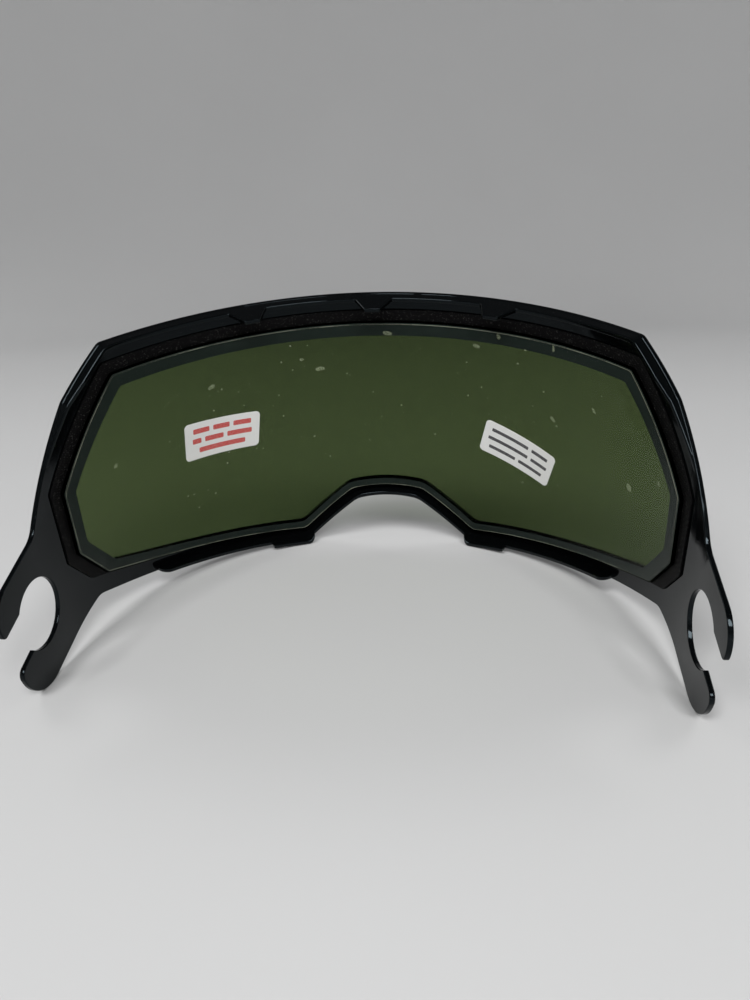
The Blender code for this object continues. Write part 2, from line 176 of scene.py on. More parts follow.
def shared(points, fillets):
    """Fillets that share each edge between its two corners where they would meet."""
    count = len(points)
    reach = []
    for index, point in enumerate(points):
        angle = (points[index - 1] - point).angle(points[(index + 1) % count] - point)
        reach.append(fillets[index] / math.tan(angle / 2.0))
    fitted = []
    for index, point in enumerate(points):
        share = 1.0
        for other in (index - 1, (index + 1) % count):
            taken = reach[index] + reach[other]
            if taken > 0.0:
                share = min(share, (points[other] - point).length / taken)
        fitted.append(fillets[index] * share)
    return fitted


def traced(loop):
    """Every point of an outline, with its bows and its filleted corners."""
    points, fillets = [], []
    for index, corner in enumerate(loop):
        edge = bowed(loop, index)
        points += [Vector(corner[:2])] + edge
        fillets += [corner[2]] + [0.0] * len(edge)
    outline = []
    for index, fillet in enumerate(shared(points, fillets)):
        if fillet > 0.0:
            after = points[(index + 1) % len(points)]
            outline += filleted(points[index - 1], points[index], after, fillet)
        else:
            outline.append(points[index])
    return outline


def window_loop():
    half = [
        (BROW_HALF, BROW_HEIGHT, WINDOW_FILLET, 0.0),
        (TEMPLE_HALF, TEMPLE_HEIGHT, WINDOW_FILLET, 0.0),
        (CHEEK_HALF, CHEEK_HEIGHT, WINDOW_FILLET, 0.0),
        (JAW_HALF, -JAW_DROP, WINDOW_FILLET, JAW_BULGE),
        (NOSE_FOOT_HALF, -NOSE_FOOT_DROP, NOSE_FOOT_FILLET, 0.0),
        (NOSE_TOP_HALF, -NOSE_TOP_DROP, NOSE_TOP_FILLET, -NOSE_ARCH),
    ]
    return mirrored(half, -BROW_SAG)


def window_grown(upper, lower):
    """The window moved outwards, by one lap at the brow and sides and one along the bottom."""
    half = [upper, upper, upper, lower, lower]
    return grown(window_loop(), half + [lower] + half[::-1] + [upper])


print("window outline:", len(traced(window_loop())), "points")

# %% [markdown]
# ## Rounded flat sheets
# A moulding or a cut sheet has no knife edges. A filled 2D curve with a bevel gives both faces,
# the side wall and a round on every edge in one go, also round the window, where a Bevel modifier
# would trip over the many small fillet edges. The sheet is then cut into narrow columns, so that
# it can bend, and its normals are taken while its faces are still truly flat.

# %% A sheet from outlines
EDGE_STEPS = 2
MERGE = 0.001 * MM
COLUMN = BEND_RADIUS * math.radians(1.0)
FLAT_ANGLE = math.radians(0.05)
SHARP_ANGLE = math.radians(40.0)


def as_mesh(source):
    """The evaluated shape as a plain mesh object, in place of its source."""
    depsgraph = bpy.context.evaluated_depsgraph_get()
    mesh = bpy.data.meshes.new_from_object(source.evaluated_get(depsgraph), depsgraph=depsgraph)
    name = source.name
    bpy.data.objects.remove(source, do_unlink=True)
    obj = bpy.data.objects.new(name, mesh)
    mesh.name = name
    bpy.context.scene.collection.objects.link(obj)
    return obj


def flat_sheet(name, outlines, low, high, edge):
    """A sheet between two depths with rounded edges: the first outline less those inside it."""
    curve = bpy.data.curves.new(name, "CURVE")
    curve.dimensions = "2D"
    curve.fill_mode = "BOTH"
    curve.extrude = (high - low) / 2.0 - edge
    curve.bevel_depth = edge
    curve.bevel_resolution = EDGE_STEPS
    curve.offset = -edge
    for outline in outlines:
        spline = curve.splines.new("POLY")
        spline.points.add(len(outline) - 1)
        for point, place in zip(spline.points, outline):
            point.co = (place.x, place.y, 0.0, 1.0)
        spline.use_cyclic_u = True
    source = bpy.data.objects.new(name, curve)
    bpy.context.scene.collection.objects.link(source)
    sheet = as_mesh(source)
    for vertex in sheet.data.vertices:
        vertex.co.z += (low + high) / 2.0
    shape = bmesh.new()
    shape.from_mesh(sheet.data)
    bmesh.ops.remove_doubles(shape, verts=shape.verts[:], dist=MERGE)
    shape.to_mesh(sheet.data)
    shape.free()
    return sheet


def halve(shape, faces, columns):
    """Cuts faces at the middle one of a row of columns, then each side at the columns left."""
    if not columns or not faces:
        return
    middle = len(columns) // 2
    place_x = columns[middle]
    edges = {edge for face in faces for edge in face.edges}
    points = {point for edge in edges for point in edge.verts}
    cut = bmesh.ops.bisect_plane(
        shape,
        geom=faces + list(edges) + list(points),
        dist=MERGE,
        plane_co=(place_x, 0.0, 0.0),
        plane_no=(1.0, 0.0, 0.0),
    )
    for element in cut["geom_cut"]:
        if isinstance(element, bmesh.types.BMEdge):
            element.seam = True
    sides = ([], [])
    for element in cut["geom"]:
        if isinstance(element, bmesh.types.BMFace):
            sides[element.calc_center_median().x > place_x].append(element)
    halve(shape, sides[0], columns[:middle])
    halve(shape, sides[1], columns[middle + 1 :])


def cut_columns(sheet, reach):
    """Cuts a flat piece into columns and leaves clean triangles between the cuts."""
    shape = bmesh.new()
    shape.from_mesh(sheet.data)
    bmesh.ops.triangulate(shape, faces=shape.faces[:])
    for edge in shape.edges:
        edge.seam = False
    last = int(reach / COLUMN)
    halve(shape, shape.faces[:], [column * COLUMN for column in range(-last, last + 1)])
    bmesh.ops.dissolve_limit(
        shape,
        angle_limit=FLAT_ANGLE,
        verts=shape.verts[:],
        edges=shape.edges[:],
        delimit={"SEAM"},
    )
    bmesh.ops.remove_doubles(shape, verts=shape.verts[:], dist=MERGE)
    bmesh.ops.triangulate(shape, faces=shape.faces[:])
    for edge in shape.edges:
        edge.seam = False
    shape.to_mesh(sheet.data)
    shape.free()


# %% [markdown]
# ## One rule that bends every piece
# Bending is a rule, so Geometry Nodes carries it out: the tree turns each point round the axis by
# its distance along the sheet, runs straight on past a quarter turn, then leans the shield back
# on its feet. A Simple Deform modifier bends too, but it can't leave the arms straight. The tree
# also carries the flat sheet's normals round, so a bent face shades as one smooth curve.


# %% The bending tree
def node(tree, kind, operation=None, **inputs):
    """Adds a node and fills its sockets, from values or from other sockets."""
    made = tree.nodes.new(kind)
    if operation:
        made.operation = operation
    for name, value in inputs.items():
        socket = made.inputs[int(name[1:])]
        if isinstance(value, bpy.types.NodeSocket):
            tree.links.new(value, socket)
        else:
            socket.default_value = value
    return made


def maths(tree, operation, first, second=0.0):
    return node(tree, "ShaderNodeMath", operation, _0=first, _1=second).outputs[0]


def new_tree(name, inputs):
    """A node tree with a Geometry input and output and further named inputs."""
    tree = bpy.data.node_groups.new(name, "GeometryNodeTree")
    sockets = tree.interface
    sockets.new_socket("Geometry", in_out="OUTPUT", socket_type="NodeSocketGeometry")
    sockets.new_socket("Geometry", in_out="INPUT", socket_type="NodeSocketGeometry")
    for label, kind in inputs:
        sockets.new_socket(label, in_out="INPUT", socket_type=kind)
    return tree, tree.nodes.new("NodeGroupInput").outputs


def close_tree(tree, geometry, finish):
    """Ends a tree in Realize Instances and Set Material."""
    realize = node(tree, "GeometryNodeRealizeInstances", _0=geometry)
    painted = node(tree, "GeometryNodeSetMaterial", _0=realize.outputs[0], _2=finish)
    node(tree, "NodeGroupOutput", _0=painted.outputs[0])


def turned(tree, along, up, deep, sine, cosine, lean):
    """A vector given along, up and out of the sheet, turned to its place on the bent shield."""
    across = maths(
        tree,
        "SUBTRACT",
        maths(tree, "MULTIPLY", along, cosine),
        maths(tree, "MULTIPLY", deep, sine),
    )
    ahead = maths(
        tree,
        "ADD",
        maths(tree, "MULTIPLY", along, sine),
        maths(tree, "MULTIPLY", deep, cosine),
    )
    back = maths(tree, "MULTIPLY", ahead, -1.0)
    bent = node(tree, "ShaderNodeCombineXYZ", _0=across, _1=back, _2=up)
    leant = tree.nodes.new("ShaderNodeVectorRotate")
    leant.rotation_type = "X_AXIS"
    tree.links.new(bent.outputs[0], leant.inputs["Vector"])
    tree.links.new(lean, leant.inputs["Angle"])
    return leant.outputs[0]


def bending_tree():
    tree, given = new_tree(
        "bend_round_face",
        [
            ("Bend radius", "NodeSocketFloat"),
            ("Bend angle", "NodeSocketFloat"),
            ("Lean", "NodeSocketFloat"),
            ("Stance", "NodeSocketVector"),
            ("Finish", "NodeSocketMaterial"),
        ],
    )
    sheet, radius, angle, lean, stance, finish = list(given)[:6]
    place = tree.nodes.new("GeometryNodeInputPosition").outputs[0]
    along, up, deep = node(tree, "ShaderNodeSeparateXYZ", _0=place).outputs
    swing = maths(tree, "DIVIDE", along, radius)
    swing = maths(tree, "MINIMUM", swing, angle)
    swing = maths(tree, "MAXIMUM", swing, maths(tree, "MULTIPLY", angle, -1.0))
    sine, cosine = maths(tree, "SINE", swing), maths(tree, "COSINE", swing)
    arm = maths(tree, "SUBTRACT", along, maths(tree, "MULTIPLY", swing, radius))
    inset = maths(tree, "SUBTRACT", deep, radius)
    bent_place = turned(tree, arm, up, inset, sine, cosine, lean)
    stood = node(tree, "ShaderNodeVectorMath", "ADD", _0=bent_place, _1=stance)

    flat_normal = tree.nodes.new("GeometryNodeInputNormal").outputs["Normal"]
    nx, ny, nz = node(tree, "ShaderNodeSeparateXYZ", _0=flat_normal).outputs
    bent_normal = turned(tree, nx, ny, nz, sine, cosine, lean)
    kept = tree.nodes.new("GeometryNodeCaptureAttribute")
    kept.domain = "CORNER"
    kept.capture_items.new("VECTOR", "Normal")
    tree.links.new(sheet, kept.inputs[0])
    tree.links.new(bent_normal, kept.inputs[1])

    moved = node(tree, "GeometryNodeSetPosition", _0=kept.outputs[0], _2=stood.outputs[0])
    shaded = tree.nodes.new("GeometryNodeSetMeshNormal")
    shaded.mode = "FREE"
    shaded.domain = "CORNER"
    tree.links.new(moved.outputs[0], shaded.inputs["Mesh"])
    tree.links.new(kept.outputs[1], shaded.inputs["Custom Normal"])
    close_tree(tree, shaded.outputs[0], finish)
    return tree


BENDING = bending_tree()


def add_tree(obj, tree, values):
    """Adds a tree as a modifier, with its inputs set by their identifiers."""
    modifier = obj.modifiers.new(tree.name, "NODES")
    modifier.node_group = tree
    for item in tree.interface.items_tree:
        if item.in_out == "INPUT" and item.name in values:
            modifier[item.identifier] = values[item.name]


def bend(obj, finish):
    """Smooths a flat piece, bends it and makes the result a plain mesh."""
    obj.data.shade_smooth()
    obj.data.set_sharp_from_angle(angle=SHARP_ANGLE)
    weighted = obj.modifiers.new("level_faces", "WEIGHTED_NORMAL")
    weighted.keep_sharp = True
    values = {
        "Bend radius": BEND_RADIUS,
        "Bend angle": BEND_ANGLE,
        "Lean": LEAN,
        "Stance": STANCE,
        "Finish": finish,
    }
    add_tree(obj, BENDING, values)
    made = as_mesh(obj)
    print(made.name, len(made.data.polygons), "faces")
    return made


def bent_sheet(name, outlines, low, high, edge, finish):
    """A flat sheet cut into columns and bent."""
    sheet = flat_sheet(name, outlines, low, high, edge)
    cut_columns(sheet, BEND_REACH)
    return bend(sheet, finish)


def place(piece, body, slot, node_name=None):
    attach(piece, body)
    if node_name:
        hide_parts(node_name)


# %% [markdown]
# ## Gloss-black plastic
# The moulding is a hard black plastic, polished enough to mirror the floor as slate grey, with
# the faint ripple of moulded sheet, fine rub marks and a little dust. A black Principled shader
# with a fixed roughness would look like vinyl. Two noises change its roughness and surface at
# different scales instead, and a third scatters the dust. The colour under the gloss is close to
# none at all: what is seen of this frame is nearly all reflection.


# %% The frame's finish
def new_finish(name):
    material = bpy.data.materials.new(name)
    material.use_nodes = True
    material.node_tree.nodes.clear()
    return material, material.node_tree


def output(tree, shader):
    node(tree, "ShaderNodeOutputMaterial", _0=shader)


def principled(tree, **values):
    shader = tree.nodes.new("ShaderNodeBsdfPrincipled")
    for name, value in values.items():
        socket = shader.inputs[name.replace("_", " ")]
        if isinstance(value, bpy.types.NodeSocket):
            tree.links.new(value, socket)
        else:
            socket.default_value = value
    return shader


def noise(tree, scale, detail=2.0, stretch=(1.0, 1.0, 1.0)):
    """Noise on Object coordinates, stretched along chosen axes."""
    where = tree.nodes.new("ShaderNodeTexCoord").outputs["Object"]
    mapping = tree.nodes.new("ShaderNodeMapping")
    mapping.inputs["Scale"].default_value = stretch
    tree.links.new(where, mapping.inputs["Vector"])
    texture = tree.nodes.new("ShaderNodeTexNoise")
    texture.inputs["Scale"].default_value = scale
    texture.inputs["Detail"].default_value = detail
    tree.links.new(mapping.outputs[0], texture.inputs["Vector"])
    return texture.outputs["Fac"]


def ranged(tree, value, from_low, from_high, to_low, to_high):
    made = tree.nodes.new("ShaderNodeMapRange")
    tree.links.new(value, made.inputs["Value"])
    for index, number in enumerate((from_low, from_high, to_low, to_high), 1):
        made.inputs[index].default_value = number
    return made.outputs[0]


def blended(tree, factor, first, second):
    """A colour between two colours."""
    made = tree.nodes.new("ShaderNodeMix")
    made.data_type = "RGBA"
    tree.links.new(factor, made.inputs["Factor"])
    for name, colour in (("A", first), ("B", second)):
        socket = [entry for entry in made.inputs if entry.name == name and entry.type == "RGBA"][0]
        socket.default_value = (*colour, 1.0)
    return [entry for entry in made.outputs if entry.type == "RGBA"][0]


def bump(tree, height, distance, strength):
    made = tree.nodes.new("ShaderNodeBump")
    made.inputs["Strength"].default_value = strength
    made.inputs["Distance"].default_value = distance
    tree.links.new(height, made.inputs["Height"])
    return made.outputs[0]


def gloss_black():
    material, tree = new_finish("gloss_black")
    dust = ranged(tree, noise(tree, 2600.0, 1.0), 0.76, 0.82, 0.0, 1.0)
    colour = blended(tree, dust, (0.0014, 0.0017, 0.0019), (0.06, 0.065, 0.065))
    rub = noise(tree, 420.0, 4.0, (1.0, 1.0, 0.25))
    ripple = noise(tree, 110.0, 1.0)
    shader = principled(
        tree,
        Base_Color=colour,
        Roughness=ranged(tree, rub, 0.35, 0.7, 0.05, 0.11),
        Normal=bump(tree, ripple, 0.04 * MM, 0.4),
        IOR=1.26,
        Specular_Tint=(0.74, 0.91, 1.0, 1.0),
    )
    output(tree, shader.outputs[0])
    return material


GLOSS_BLACK = gloss_black()
print("finish:", GLOSS_BLACK.name)

# %% [markdown]
# ## The frame
# The real frame is one injection moulding. Its wall is a flat sheet with the window and a C-shaped
# snap hook at each end, so it is drawn as one outline: brow, temple, arm, round the bore of the
# hook, arm pit and lower edge. The bore could be cut with a Boolean, but drawn in the outline it
# gets the same round on its edges as the rest.

# %% Outline of the wall
BORE_REACH = CHEEK_HALF + 31.9 * MM
BORE_RADIUS = 11.5 * MM
ARM_ABOVE, ARM_BELOW = 20.3 * MM, 25.0 * MM
ARM_ROOT_OUT, ARM_ROOT_FILLET = 23.2 * MM, 8.0 * MM
ARM_PIT_OUT, ARM_PIT_FILLET = 12.1 * MM, 9.0 * MM
THROAT_ABOVE, THROAT_BELOW = 8.8 * MM, 5.6 * MM
UPPER_PRONG, UPPER_PRONG_FILLET, UPPER_TIP_FILLET = 17.2 * MM, 12.0 * MM, 1.8 * MM
LOWER_PRONG, LOWER_PRONG_FILLET, LOWER_TIP_FILLET = 19.4 * MM, 13.5 * MM, 3.0 * MM
LOWER_PRONG_RISE = 2.2 * MM
BORE_STEPS = 60
NOSE_FOOT_INDEX = 4


def nose_corners():
    """The frame's nose foot and nose top on the right, a border's width below the window's."""
    return window_grown(BROW_BORDER, LOWER_BORDER)[NOSE_FOOT_INDEX : NOSE_FOOT_INDEX + 2]


def bore_corners():
    """The bore of a hook, from the upper side of its throat round to the lower side."""
    start = math.asin(THROAT_ABOVE / BORE_RADIUS)
    end = 2.0 * math.pi - math.asin(THROAT_BELOW / BORE_RADIUS)
    corners = []
    for step in range(BORE_STEPS + 1):
        angle = start + (end - start) * step / BORE_STEPS
        x = BORE_REACH + BORE_RADIUS * math.cos(angle)
        corners.append((x, BORE_RADIUS * math.sin(angle), 0.0, 0.0))
    return corners


def frame_loop():
    lower_edge = -ARM_BELOW + LOWER_PRONG_RISE
    half = [
        (BROW_HALF + BROW_OUT, BROW_HEIGHT + BROW_BORDER, BROW_FILLET, 0.0),
        (BROW_HALF + TEMPLE_OUT, BROW_HEIGHT + TEMPLE_UP, TEMPLE_FILLET, 0.0),
        (TEMPLE_HALF + ARM_ROOT_OUT, ARM_ABOVE, ARM_ROOT_FILLET, 0.0),
        (BORE_REACH + UPPER_PRONG, ARM_ABOVE, UPPER_PRONG_FILLET, 0.0),
        (BORE_REACH + UPPER_PRONG, THROAT_ABOVE, UPPER_TIP_FILLET, 0.0),
        *bore_corners(),
        (BORE_REACH + LOWER_PRONG, -THROAT_BELOW, LOWER_TIP_FILLET, 0.0),
        (BORE_REACH + LOWER_PRONG, lower_edge, LOWER_PRONG_FILLET, 0.0),
        (JAW_HALF + ARM_PIT_OUT, -ARM_BELOW, ARM_PIT_FILLET, JAW_BULGE),
        *nose_corners(),
    ]
    return mirrored(half, -BROW_SAG)


WALL_EDGE = 0.35 * MM
frame_outline = traced(frame_loop())
wall_outlines = [frame_outline, traced(window_loop())]
wall = flat_sheet("frame_piece", wall_outlines, -FRAME_WALL, 0.0, WALL_EDGE)
print("wall:", len(frame_outline), "outline points,", len(wall.data.polygons), "faces")

# %% [markdown]
# ## The rims that stand off the frame
# A shallow rim runs along the brow with three hooked tabs on it and dies away down the temples. A
# ledge runs along the bottom, with a deeper block at each side of the nose. Each is a slab drawn in
# plan, as if seen from above, then lifted onto the frame's edge so that it follows the edge's bow.
# An extrusion of the edge itself would give the rim but not its tabs.

# %% Brow rim and lower ledge
RIM_STEP = 0.15 * MM
RIM_EDGE = 0.4 * MM
BROW_RIM_DEPTH, BROW_RIM_THICKNESS = 3.1 * MM, 1.6 * MM
BROW_RIM_RUN, BROW_RIM_TAPER = 42.0 * MM, 30.0 * MM
TAB_COUNT, TAB_PITCH = 3, 47.2 * MM
TAB_ROOT_WIDTH, TAB_TIP_WIDTH, TAB_LENGTH, TAB_FILLET = 13.7 * MM, 6.2 * MM, 7.4 * MM, 0.8 * MM
LEDGE_THICKNESS, NOSE_RIM_DEPTH = 2.0 * MM, 3.5 * MM
BLOCK_INSET, BLOCK_LENGTH, BLOCK_DEPTH, BLOCK_FILLET = 2.5 * MM, 21.3 * MM, 7.2 * MM, 3.4 * MM
STRIP_LENGTH, STRIP_DEPTH, STRIP_FILLET = 53.0 * MM, 4.5 * MM, 3.5 * MM


def brow_rim_plan():
    end = BROW_HALF + BROW_OUT + BROW_RIM_RUN
    tip = BROW_RIM_DEPTH + TAB_LENGTH
    loop = [
        (end, -FRAME_WALL / 2.0, 0.0, 0.0),
        (-end, -FRAME_WALL / 2.0, 0.0, 0.0),
        (-end + BROW_RIM_TAPER, BROW_RIM_DEPTH, 0.0, 0.0),
    ]
    for index in range(TAB_COUNT):
        middle = (index - (TAB_COUNT - 1) / 2.0) * TAB_PITCH
        loop.append((middle - TAB_ROOT_WIDTH / 2.0, BROW_RIM_DEPTH, TAB_FILLET, 0.0))
        loop.append((middle - TAB_TIP_WIDTH / 2.0, tip, TAB_FILLET, 0.0))
        loop.append((middle + TAB_TIP_WIDTH / 2.0, tip, TAB_FILLET, 0.0))
        loop.append((middle + TAB_ROOT_WIDTH / 2.0, BROW_RIM_DEPTH, TAB_FILLET, 0.0))
    return loop + [(end - BROW_RIM_TAPER, BROW_RIM_DEPTH, 0.0, 0.0)]


def ledge_plan():
    block_start = nose_corners()[0][0] - BLOCK_INSET
    block_end = block_start + BLOCK_LENGTH
    strip_end = block_end + STRIP_LENGTH
    half = [
        (block_start, NOSE_RIM_DEPTH, 0.0, 0.0),
        (block_start, BLOCK_DEPTH, BLOCK_FILLET, 0.0),
        (block_end, BLOCK_DEPTH, 0.0, 0.0),
        (block_end, STRIP_DEPTH, 0.0, 0.0),
        (strip_end, STRIP_DEPTH, STRIP_FILLET, 0.0),
        (strip_end, -FRAME_WALL / 2.0, 0.0, 0.0),
    ]
    return mirrored(half, 0.0)


def frame_edge(reach, upper):
    """The frame's upper or lower edge, to a reach on both sides: a row of x and a row of y."""
    edge = [
        (point.x, point.y)
        for point in frame_outline
        if abs(point.x) <= reach and (point.y > 0.0) == upper
    ]
    return np.array(sorted(edge)).T


def shelf(name, plan, edge, side, thickness):
    """A slab drawn in plan and laid along an edge, on its upper (1) or lower (-1) side."""
    slab = flat_sheet(name, [traced(plan)], 0.0, thickness, RIM_EDGE)
    cut_columns(slab, edge[0].max())
    for vertex in slab.data.vertices:
        x, depth, rise = vertex.co
        base = float(np.interp(x, *edge))
        vertex.co = (x, base + side * (RIM_STEP + rise), depth)
    if side > 0.0:
        slab.data.flip_normals()
    return slab


def joined(obj, other):
    """The union of two solids; the second is used up."""
    union = obj.modifiers.new("union", "BOOLEAN")
    union.operation = "UNION"
    union.object = other
    result = as_mesh(obj)
    bpy.data.objects.remove(other, do_unlink=True)
    return result


brow_edge = frame_edge(TEMPLE_HALF + ARM_ROOT_OUT, True)
lower_edge = frame_edge(JAW_HALF + ARM_PIT_OUT, False)
moulding = joined(wall, shelf("brow_rim", brow_rim_plan(), brow_edge, -1.0, BROW_RIM_THICKNESS))
moulding = joined(moulding, shelf("ledge", ledge_plan(), lower_edge, 1.0, LEDGE_THICKNESS))
cut_columns(moulding, BEND_REACH)
frame_piece = bend(moulding, GLOSS_BLACK)
place(frame_piece, "shield", "frame", "frame")

# %% [markdown]
# ## The adhesive tape
# A black tape holds the lens to the frame. It shows just outside the lens along the brow and the
# sides as a dull band with a fine woven grain, unlike the gloss around it. Its shape is a ring cut
# from sheet. The grain is half a millimetre wide and far shallower, so it is in the finish: two
# sets of waves cross to make the weave, and a noise paints glints of light on the tops of the
# threads here and there.

# %% Tape
LAYER_GAP = 0.1 * MM
UPPER_LAP, LOWER_LAP = 6.0 * MM, 3.0 * MM
TAPE_THICKNESS, TAPE_SHOW, TAPE_SET_BACK, TAPE_EDGE = 0.5 * MM, 4.2 * MM, 0.5 * MM, 0.1 * MM
RIB_SCALE = 0.314
tape_low = LAYER_GAP


def weave(tree, pitch):
    """Crossed ribs with the given pitch, from 0 between them to 1 on top."""
    where = tree.nodes.new("ShaderNodeTexCoord").outputs["Object"]
    ribs = []
    for turn in (35.0, -55.0):
        mapping = tree.nodes.new("ShaderNodeMapping")
        mapping.inputs["Rotation"].default_value = (0.0, math.radians(turn), 0.0)
        tree.links.new(where, mapping.inputs["Vector"])
        wave = tree.nodes.new("ShaderNodeTexWave")
        wave.inputs["Scale"].default_value = RIB_SCALE / pitch
        wave.inputs["Distortion"].default_value = 1.2
        tree.links.new(mapping.outputs[0], wave.inputs["Vector"])
        ribs.append(wave.outputs["Fac"])
    return maths(tree, "MAXIMUM", *ribs)


def tape_black():
    material, tree = new_finish("tape_black")
    threads = weave(tree, 0.55 * MM)
    # Painted glints: where the noise is high the colour lifts to grey on the tops of the threads.
    bright = ranged(tree, noise(tree, 1500.0, 3.0), 0.58, 0.68, 0.0, 1.0)
    thread_glint = maths(tree, "MULTIPLY", bright, ranged(tree, threads, 0.5, 0.9, 0.15, 1.0))
    colour = blended(tree, thread_glint, (0.0015, 0.0015, 0.0017), (0.04, 0.039, 0.037))
    shader = principled(
        tree,
        Base_Color=colour,
        Roughness=ranged(tree, threads, 0.0, 1.0, 0.8, 0.55),
        Normal=bump(tree, threads, 0.05 * MM, 0.6),
        Specular_IOR_Level=0.08,
    )
    output(tree, shader.outputs[0])
    return material


tape_outline = traced(window_grown(UPPER_LAP + TAPE_SHOW, LOWER_LAP - TAPE_SET_BACK))
tape_window = traced(window_grown(TAPE_SET_BACK, TAPE_SET_BACK))
tape_high = tape_low + TAPE_THICKNESS
tape_outlines = [tape_outline, tape_window]
tape = bent_sheet("tape_piece", tape_outlines, tape_low, tape_high, TAPE_EDGE, tape_black())
place(tape, "shield", "tape", "lens_tape")

# %% [markdown]
# ## The tinted lens
# The lens is a polished sheet that lets through about a tenth of the light, most of it green.
# A glass shader would block the lamps and leave a black shadow, so the lens mixes a tinted
# Transparent shader, which light passes straight through, with a mirror that grows towards
# grazing angles. Light crosses two faces, so each face has the square root of the whole tint.


# %% Lens
SLANT_POWER = 5.0


def sheen(tree, straight_on, grazing):
    """Share of light mirrored by a polished face: little straight on, more at a grazing angle."""
    weight = tree.nodes.new("ShaderNodeLayerWeight")
    weight.inputs["Blend"].default_value = 0.5
    slant = maths(tree, "POWER", weight.outputs["Facing"], SLANT_POWER)
    return ranged(tree, slant, 0.0, 1.0, straight_on, grazing)


def mixed(tree, factor, first, second):
    made = tree.nodes.new("ShaderNodeMixShader")
    for index, socket in enumerate((factor, first, second)):
        tree.links.new(socket, made.inputs[index])
    return made.outputs[0]


def clear(tree, tint):
    shader = tree.nodes.new("ShaderNodeBsdfTransparent")
    shader.inputs["Color"].default_value = (*tint, 1.0)
    return shader.outputs[0]


def mirror(tree, roughness):
    shader = tree.nodes.new("ShaderNodeBsdfGlossy")
    tree.links.new(roughness, shader.inputs["Roughness"])
    return shader.outputs[0]


LENS_TINT, LENS_SHEEN = (0.084, 0.116, 0.048), (0.001, 0.15)


def lens_green():
    material, tree = new_finish("lens_green")
    face_tint = [math.sqrt(share) for share in LENS_TINT]
    polish = ranged(tree, noise(tree, 40.0, 1.0), 0.3, 0.7, 0.02, 0.05)
    shader = mixed(tree, sheen(tree, *LENS_SHEEN), clear(tree, face_tint), mirror(tree, polish))
    output(tree, shader)
    return material


LENS_THICKNESS, LENS_EDGE = 1.2 * MM, 0.2 * MM
lens_low = tape_high + LAYER_GAP
lens_high = lens_low + LENS_THICKNESS
lens_outline = traced(window_grown(UPPER_LAP, LOWER_LAP))
lens = bent_sheet("lens_piece", [lens_outline], lens_low, lens_high, LENS_EDGE, lens_green())
place(lens, "shield", "lens", "lens")


# %% [markdown]
# ## The lens's border, a painted reflection
# Where the lens laps the frame, the frame behind it looks slate green rather than black: that is
# the lens's own faint gloss over black. So faint a glow over black comes out grainy if the lens
# mirrors it, so a ring as thin as paint lies on the lap and carries that reflection as painted
# colour. Along the bottom it runs a little past the frame's edge, because the wearer looks down
# over it.


# %% Border of the lens, a painted reflection
def painted_lap_reflection():
    material, tree = new_finish("painted_lap_reflection")
    # Painted reflection: slate green standing in for the lens's gloss over the black frame.
    colour = blended(tree, noise(tree, 30.0), (0.008, 0.0128, 0.011), (0.012, 0.0185, 0.0162))
    shader = principled(tree, Base_Color=colour, Roughness=0.45, Specular_IOR_Level=0.1)
    output(tree, shader.outputs[0])
    return material


BORDER_INSET, BORDER_SET_BACK, BORDER_OVERHANG = 0.4 * MM, 0.3 * MM, 0.9 * MM
BORDER_SUNK, BORDER_PROUD, BORDER_EDGE = 0.02 * MM, 0.03 * MM, 0.01 * MM
border_outline = traced(window_grown(UPPER_LAP - BORDER_INSET, LOWER_LAP - BORDER_INSET))
border_window = traced(window_grown(BORDER_SET_BACK, -BORDER_OVERHANG))
border_low, border_high = lens_high - BORDER_SUNK, lens_high + BORDER_PROUD
border = bent_sheet(
    "lens_lap_painted_reflection",
    [border_outline, border_window],
    border_low,
    border_high,
    BORDER_EDGE,
    painted_lap_reflection(),
)
place(border, "shield", "lens")

# %% [markdown]
# ## The protective film
# A thin clear film covers the lens and comes off before use. It is seen by the gloss on its curved
# ends, by its bubbles and by the pale line of its cut edge. A film this thin could be a single
# face, but a closed sheet keeps its edge. The pale line along that edge is partly the frosted cut
# and partly a painted highlight of the edge catching the light. It is a narrow ring of its own,
# because it has another finish, one that comes and goes along the cut.


# %% Film
FILM_SHEEN = (0.0, 0.2)


def film_clear():
    material, tree = new_finish("film_clear")
    cloud = noise(tree, 28.0, 2.0, (1.0, 1.0, 0.6))
    slip = ranged(tree, cloud, 0.3, 0.7, 0.03, 0.09)
    body = clear(tree, (0.985, 0.99, 0.98))
    output(tree, mixed(tree, sheen(tree, *FILM_SHEEN), body, mirror(tree, slip)))
    return material


FILM_THICKNESS, FILM_MARGIN, FILM_EDGE = 0.15 * MM, 0.7 * MM, 0.04 * MM
film_low = lens_high + LAYER_GAP
film_high = film_low + FILM_THICKNESS
film_outline = traced(window_grown(UPPER_LAP - FILM_MARGIN, LOWER_LAP - FILM_MARGIN))
film = bent_sheet("film_piece", [film_outline], film_low, film_high, FILM_EDGE, film_clear())
place(film, "film", "film", "film")


# %% Cut edge of the film, partly a painted highlight
def edge_frost_and_highlight():
    material, tree = new_finish("edge_frost_and_highlight")
    # Pale colour along the cut: partly the frosted cut, partly a painted highlight of the edge.
    milk = principled(tree, Base_Color=(0.36, 0.38, 0.29, 1.0), Roughness=0.45)
    broken = ranged(tree, noise(tree, 60.0, 3.0), 0.38, 0.66, 0.1, 0.75)
    output(tree, mixed(tree, broken, clear(tree, (0.97, 0.98, 0.96)), milk.outputs[0]))
    return material


LINE_WIDTH, LINE_SUNK, LINE_PROUD, LINE_EDGE = 0.16 * MM, 0.02 * MM, 0.04 * MM, 0.015 * MM
line_inset = FILM_MARGIN + LINE_WIDTH
line_inside = traced(window_grown(UPPER_LAP - line_inset, LOWER_LAP - line_inset))
line_low, line_high = film_high - LINE_SUNK, film_high + LINE_PROUD
line_outlines = [film_outline, line_inside]
film_line = bent_sheet("film_line", line_outlines, line_low, line_high, LINE_EDGE, edge_frost_and_highlight())
place(film_line, "film", "film")

